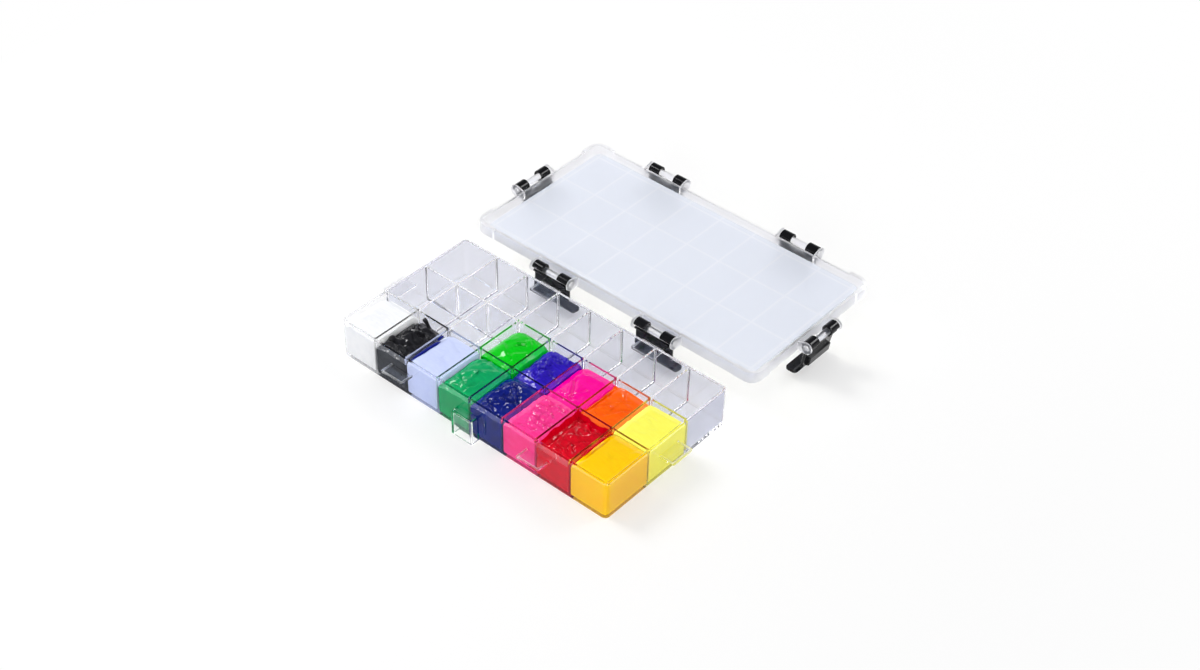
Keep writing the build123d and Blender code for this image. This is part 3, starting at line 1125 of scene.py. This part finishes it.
def paint_material(name, colour, deep, roughness, bump):
    """Wet thick paint: a strong colour with deeper streaks under a clear gloss."""
    material, tree, shader = new_material(
        name, ior=1.2, specular_ior_level=0.0, coat_roughness=0.1,
    )
    surface = placed(tree, wet_paint, Roughness=roughness, Angle=KNIFE_TURN).outputs
    tree.links.new(surface["Gloss"], shader.inputs["Coat Weight"])
    shown = tinted(tree, surface["Mask"], colour, deep)
    dress(tree, shader, shown, surface["Roughness"], surface["Height"], (bump, 0.0012))
    put_out(tree, shader)
    return material


# %% Paint shapes
INTO_WALL, UNDER_RIM = 0.08, 0.4
SHOULDER, CLIMB_WIDTH = 5.0, 1.1
CORNER_REACH, CORNER_WIDTH = 9, 3.7
WAVE, LUMP, RIPPLE, RAGGED, WANDER = 0.055, 0.13, 0.1, 0.09, 0.18
RING_STEP = 0.45


def smooth(value):
    """Smooth step from 0 to 1."""
    value = min(1.0, max(0.0, value))
    return value * value * (3 - 2 * value)


def unevenness(x, y, pitch, seed):
    """Smooth seeded noise over the paint, from -1 to 1, with so many waves a millimetre."""
    return noise.noise(Vector((x * pitch, y * pitch, seed)))


def stroke_height(x, y, stroke):
    """A knife mark from one point to another: a trough with a lip along one side."""
    x0, y0, x1, y1, width, height = stroke
    along_x, along_y = x1 - x0, y1 - y0
    length = math.hypot(along_x, along_y)
    along = ((x - x0) * along_x + (y - y0) * along_y) / length
    across = (-(x - x0) * along_y + (y - y0) * along_x) / length
    across += 0.9 * unevenness(x, y, WANDER, x0 + y1)
    beyond = max(-along, along - length, 0.0)
    fade = math.exp(-((beyond / (width * 1.2)) ** 2))
    side = across / width
    lip = math.exp(-side * side) - 0.75 * math.exp(-((side - 1.25) / 0.9) ** 2)
    return height * fade * lip


def paint_height(shape, x, y, half_x, half_y):
    """Height of the paint's top over its level, in millimetres."""
    u, v = x / half_x, y / half_y
    height = shape["dome"] * (1 - u * u) * (1 - v * v)
    height += shape["tilt"][0] * u + shape["tilt"][1] * v
    sides = (x + half_x, half_x - x, y + half_y, half_y - y)
    for drop, away in zip(shape["drops"], sides):
        height -= drop * smooth(1 - away / SHOULDER)
    corner_x = max(0.0, abs(x) - half_x + CORNER_REACH)
    corner_y = max(0.0, y - half_y + CORNER_REACH)
    corner = max(0.0, math.hypot(corner_x, corner_y) - CORNER_REACH)
    height -= shape["corners"] * smooth(corner / CORNER_WIDTH)
    seed = shape["seed"]
    height += shape["wave"] * unevenness(x, y, WAVE, seed)
    height += shape["lump"] * unevenness(x, y, LUMP, seed + 3)
    ripple_x = x + 2.0 * unevenness(x, y, RIPPLE, seed + 5)
    crease = 1.0 - 2.0 * abs(unevenness(ripple_x, y, shape["pitch"], seed + 11))
    middle = math.exp(-(u * u + v * v) * 1.4)
    ragged = 0.8 + 0.8 * unevenness(x, y, RAGGED, seed + 17)
    for climb, away in zip(shape["climb"], sides):
        height += climb * ragged * smooth(1 - away / CLIMB_WIDTH)
    height += shape["crease"] * max(0.0, crease - 0.6) * 2.5 * middle
    for stroke in shape["strokes"]:
        height += stroke_height(x, y, stroke)
    return height


# %% Knife marks


def knife_marks(shape, half_x, half_y):
    """Short seeded strokes over the top: how many, how high and how wide."""
    count, height, width = shape["marks"]
    chance = random.Random(shape["seed"])
    marks = []
    for _ in range(count):
        x, y = chance.uniform(-0.8, 0.8) * half_x, chance.uniform(-0.85, 0.85) * half_y
        turn, half = chance.uniform(-0.9, 1.3), chance.uniform(1.5, 4.0)
        reach_x, reach_y = half * math.cos(turn), half * math.sin(turn)
        size = chance.uniform(0.6, 1.3)
        ends = (x - reach_x, y - reach_y, x + reach_x, y + reach_y)
        marks.append((*ends, width * size, height * size))
    return tuple(marks)


def dense_ring(half_x, half_y, corner):
    """A rounded rectangle with its straight runs divided too."""
    points = rounded_rectangle(half_x, half_y, corner, 5)
    dense = []
    for i, (x, y) in enumerate(points):
        next_x, next_y = points[(i + 1) % len(points)]
        pieces = (30, 22)[(i // 6) % 2] if i % 6 == 5 else 1
        for step in range(pieces):
            t = step / pieces
            dense.append((x + (next_x - x) * t, y + (next_y - y) * t))
    return dense


# %% Mass of paint


def paint_piece(name, column, row, shape):
    """A closed mass of paint in its well, its sides set against the plastic."""
    middle, half_x, half_y = well_limits(column, row)
    shape = {**shape, "strokes": shape["strokes"] + knife_marks(shape, half_x, half_y)}
    level = shape["level"]
    foot = foot_heights[-1]
    loops = []

    def ring_at(inset, height_of):
        points = dense_ring(half_x - inset, half_y - inset, max(WELL_CORNER - inset, 0.12))
        return [(x + middle[0], y + middle[1], height_of(x, y)) for x, y in points]

    def top(x, y):
        return min(level + paint_height(shape, x, y, half_x, half_y), RIM - UNDER_RIM)

    def part_way(fraction):
        return lambda x, y: foot + (top(x, y) - foot) * fraction

    for z in foot_heights:
        loops.append(ring_at(wall_inset(z) - INTO_WALL, lambda x, y: z - INTO_WALL))
    for fraction in (0.35, 0.7, 0.9, 1.0):
        lean = wall_inset(foot + (level - foot) * fraction)
        loops.append(ring_at(lean - INTO_WALL, part_way(fraction)))
    inset = 0.3
    while inset < half_x - 0.15:
        loops.append(ring_at(inset, top))
        inset += RING_STEP
    return skin(name, loops)


# %% [markdown]
# The thirteen paints. Each row gives the well, the colour and its deeper streaks, and then what
# differs from a plain fill. Drops and climbs are for the left, right, front and back edge. A
# stroke runs from one point to another and has a width and a height, from the well's middle.

# %% Paints
PLAIN = dict(
    level=27.0, dome=0.6, tilt=(0.0, 0.0), drops=(0.0, 0.0, 0.0, 0.0), climb=(0.0, 0.0, 0.0, 0.0),
    marks=(0, 0.0, 1.0), corners=0.0, pitch=0.2, wave=0.7, lump=0.3, crease=0.0, seed=1.0,
    strokes=(), roughness=0.2, bump=0.1,
)
PAINTS = {
    "white": (0, 0, (0.95, 0.955, 0.975), (0.90, 0.91, 0.94), dict(
        level=28.6, drops=(1.6, 0, 0, 2.2), corners=1.5, wave=0.5, seed=2.0)),
    "black": (1, 0, (0.010, 0.010, 0.012), (0.024, 0.024, 0.028), dict(
        level=25.4, dome=1.2, drops=(1.8, 0, 0, 2.2), corners=2.0, wave=1.5, lump=1.6,
        crease=1.0, pitch=0.12, seed=5.3, marks=(11, 2.3, 2.0), bump=0.25,
        strokes=((-9, 4, 9, 12, 2.2, 2.6), (-10, -6, 2, 4, 2.0, 2.4), (0, -13, 11, -2, 2.4, 2.6),
                 (-8, -15, 3, -12, 1.8, 1.8), (3, 4, 11, 3, 1.8, 1.8)))),
    "lavender": (2, 0, (0.63, 0.70, 0.98), (0.59, 0.66, 0.96), dict(
        level=28.9, dome=0.4, drops=(1.4, 0, 0.3, 0.9), corners=0.6, wave=0.4, seed=8.0,
        strokes=((-6, 12, 4, 8, 2.6, 0.4), (2, -6, 10, -11, 3.0, 0.35)))),
    "emerald": (3, 0, (0.002, 0.40, 0.12), (0.001, 0.33, 0.11), dict(
        level=26.6, dome=2.0, tilt=(0.3, 0.3), drops=(0.9, 0.6, 0.2, 0.9), corners=1.8, wave=1.0,
        lump=0.7, seed=11.0, marks=(9, 0.8, 1.3),
        strokes=((5, -13, 8, -3, 1.7, 1.3), (-9, -2, 4, 9, 2.6, 0.9),
                 (-10, -12, -2, -6, 2.4, 0.8)))),
    "navy": (4, 0, (0.003, 0.012, 0.22), (0.002, 0.007, 0.14), dict(
        level=26.0, dome=1.9, drops=(1.0, 0, 0, 1.0), corners=1.6, wave=1.0, lump=0.8,
        crease=0.7, seed=14.0, marks=(15, 1.4, 1.5), bump=0.2,
        strokes=((-7, 2, 6, 9, 1.6, 1.3), (-4, -8, 9, -3, 1.6, 1.2), (-9, -12, 3, -14, 1.8, 0.9)))),
    "rose": (5, 0, (0.99, 0.05, 0.32), (0.95, 0.03, 0.25), dict(
        level=27.7, dome=0.8, drops=(0.9, 0, 0, 0.3), corners=0.8, wave=0.6, lump=0.6,
        crease=0.9, pitch=0.3, seed=17.0, marks=(16, 1.1, 1.3), bump=0.2,
        strokes=((-5, 1, 5, 5, 1.2, 0.9), (-2, -6, 6, -3, 1.2, 0.9), (-7, 8, 2, 11, 1.4, 0.7)))),
    "red": (6, 0, (0.74, 0.0, 0.016), (0.55, 0.0, 0.011), dict(
        level=24.4, dome=0.3, tilt=(-0.6, -0.4), wave=0.8, lump=0.5, seed=20.0, roughness=0.12,
        climb=(5.5, 5.0, 1.0, 6.0), marks=(12, 1.2, 1.1), bump=0.2,
        strokes=((-8, -12, -8, 13, 1.9, 2.2), (1, 10, 12, 15, 2.0, 2.4), (2, -12, 5, 2, 1.6, 1.4),
                 (-3, 3, 5, 9, 1.8, 1.2)))),
    "golden_yellow": (7, 0, (1.0, 0.62, 0.0), (1.0, 0.57, 0.0), dict(
        level=28.9, dome=0.3, drops=(1.6, 0, 0, 0.6), wave=0.35, lump=0.15, seed=23.0,
        marks=(2, 0.3, 1.6))),
    "bright_green": (3, 1, (0.0, 0.62, 0.008), (0.0, 0.52, 0.008), dict(
        level=26.2, dome=3.2, drops=(1.6, 0.5, 0, 1.8), corners=3.0, wave=0.8, lump=0.5,
        seed=26.0, marks=(6, 0.6, 1.3),
        strokes=((0, 3, 3, 6, 1.3, -1.6), (-8, -4, 1, -10, 2.4, 0.9), (4, -9, 9, 0, 2.2, 0.8)))),
    "violet": (4, 1, (0.030, 0.010, 0.52), (0.018, 0.006, 0.36), dict(
        level=25.6, dome=2.4, tilt=(0.7, 0.2), drops=(2.4, 0.4, 0, 1.0), corners=1.6, wave=1.2,
        lump=1.2, crease=1.0, pitch=0.17, seed=29.0, marks=(14, 1.7, 1.6), bump=0.2,
        strokes=((-6, -9, 4, -4, 1.5, 1.5), (-1, 3, 8, 9, 1.7, 1.4), (3, -14, 9, -6, 1.6, 1.2)))),
    "magenta": (5, 1, (0.98, 0.0, 0.33), (0.95, 0.0, 0.27), dict(
        level=26.9, dome=0.8, tilt=(0.8, 0.4), drops=(1.2, 0.3, 0.2, 0.5), corners=1.0, wave=0.8,
        seed=32.0, marks=(7, 0.7, 1.3),
        strokes=((-9, 2, 0, -13, 1.8, 1.3), (0, -13, 6, -2, 1.7, 1.1), (-7, 11, 6, 13, 2.6, 0.5)))),
    "orange": (6, 1, (1.0, 0.13, 0.0), (1.0, 0.10, 0.0), dict(
        level=26.8, drops=(1.4, 0, 0, 0.4), corners=0.8, lump=0.4, seed=35.0,
        climb=(2.5, 0, 0, 0.8), marks=(6, 0.8, 1.3),
        strokes=((-8, -9, -3, -2, 1.8, 1.1), (2, -9, 7, -1, 1.8, 1.0), (-4, 8, 7, 6, 2.6, 0.5)))),
    "lemon_yellow": (7, 1, (1.0, 0.97, 0.12), (1.0, 0.94, 0.10), dict(
        level=28.7, dome=0.4, drops=(1.0, 0, 0, 0.9), wave=0.4, lump=0.2, seed=38.0,
        marks=(6, 0.35, 1.6), strokes=((-5, -12, 4, -7, 2.6, 0.35),))),
}
PAINT_CREASE = 75.0
looks = {}
for name, (column, row, colour, deep, changes) in PAINTS.items():
    shape = {**PLAIN, **changes}
    slot = "paint_" + name
    looks[name] = paint_material(slot, colour, deep, shape["roughness"], shape["bump"])
    mass = paint_piece("mass", column, row, shape)
    finish_piece(
        mass, "paint_mass_" + name, "tray", slot, looks[name], slot, angle=PAINT_CREASE,
    )

# %% [markdown]
# A full palette is never tidy. A few dabs of paint sit on the walls between wells and on a
# neighbour's paint. Each is a ribbon with an oval section, drawn along a short path and pinched at
# both ends, because that is what a knife leaves when it is wiped.

# %% Dabs of paint


def dab(path, widths, thick, outward):
    """A wiped ribbon of paint along a path in millimetres. outward points away from its wall."""
    loops = []
    outward = Vector(outward)
    for i, (point, half) in enumerate(zip(path, widths)):
        here = Vector(point)
        along = Vector(path[min(i + 1, len(path) - 1)]) - Vector(path[max(i - 1, 0)])
        across = along.cross(outward).normalized()
        ring = []
        for step in range(16):
            angle = 2 * math.pi * step / 16
            bearing = Vector((math.cos(angle), math.sin(angle), i))
            wobble = 1 + 0.35 * noise.noise(here * 0.6 + bearing)
            offset = across * half * bearing.x + outward * min(thick, half) * bearing.y
            ring.append(tuple(here + offset * wobble))
        loops.append(ring)
    return skin("dab", loops)


DABS = {
    "black_blob": (
        "black", [(-77.4, -21.0, 22.5), (-78.8, -21.0, 25.0), (-80.2, -21.1, 26.8),
                  (-81.0, -21.4, 28.0), (-81.7, -21.5, 29.3), (-82.0, -21.3, 30.2)],
        (1.6, 1.2, 1.3, 2.3, 2.1, 0.6), 1.6, (0, -1, 0)),
    "navy_edge": (
        "navy", [(-58.9, -58.5, 28.0), (-58.7, -52.0, 28.2), (-58.5, -46.0, 28.4),
                 (-58.2, -40.0, 28.5), (-57.8, -34.5, 28.6), (-57.4, -30.5, 28.4)],
        (0.3, 0.9, 1.3, 1.0, 1.5, 0.4), 0.9, (0, 0, 1)),
    "navy_dab": (
        "navy", [(-58.8, -31.6, 29.4), (-58.7, -30.0, 30.2), (-58.7, -27.6, 30.4),
                 (-58.8, -26.0, 30.0)],
        (0.4, 1.2, 1.0, 0.3), 0.7, (1, 0, 0)),
    "red_wipe": (
        "red", [(91.6, -50.0, 29.2), (91.5, -44.0, 30.2), (91.5, -38.0, 29.6),
                (91.5, -32.0, 30.4), (91.5, -26.0, 29.6)],
        (0.4, 1.1, 0.8, 1.2, 0.4), 0.7, (1, 0, 0)),
    "magenta_wipe": (
        "magenta", [(61.6, -14.0, 27.0), (61.5, -7.0, 28.0), (61.5, 0.0, 27.4),
                    (61.5, 8.0, 28.2), (61.6, 14.0, 27.6)],
        (0.4, 1.3, 0.9, 1.2, 0.4), 0.7, (1, 0, 0)),
}
for name, (paint, *shape) in DABS.items():
    slot = "paint_" + paint
    finish_piece(dab(*shape), "paint_" + name, "tray", slot, looks[paint], angle=PAINT_CREASE)
